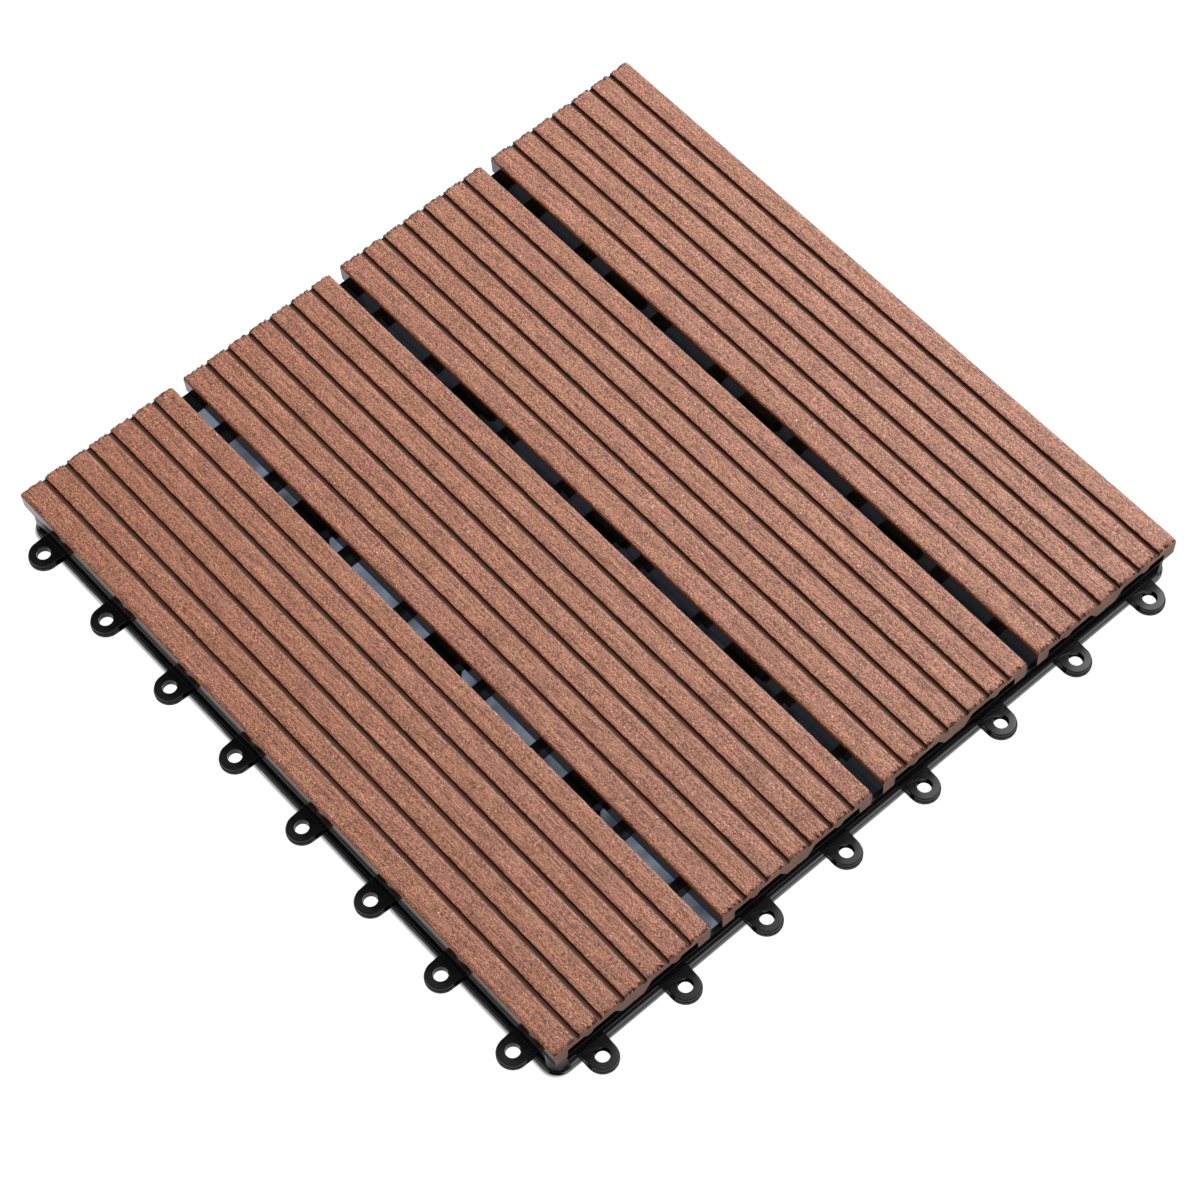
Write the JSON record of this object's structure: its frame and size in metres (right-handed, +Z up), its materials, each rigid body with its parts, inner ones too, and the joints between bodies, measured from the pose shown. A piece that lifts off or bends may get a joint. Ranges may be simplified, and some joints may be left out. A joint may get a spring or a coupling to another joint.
{
  "type": "interlocking deck tile",
  "caption": "Square deck tile: grooved wood-plastic slats on a black moulded base grid with joining loops on two sides and pegs on the others.",
  "frame": {"origin": "under the middle of the field of slats, on the underside of the base grid's middle foot", "axes": "+X across the slats, away from one row of loops; +Y along the slats, away from the other row of loops; +Z up"},
  "size_m": [0.311, 0.311, 0.022],
  "materials": {
    "grid_plastic": "satin black",
    "slat_composite": "brushed, reddish brown",
    "screw_steel": "plain"
  },
  "bodies": {
    "root": {"base_grid": "grid_plastic", "slat_1": "slat_composite", "slat_2": "slat_composite", "slat_3": "slat_composite", "slat_4": "slat_composite", "fixing_screws": "screw_steel"}
  },
  "joints": []
}
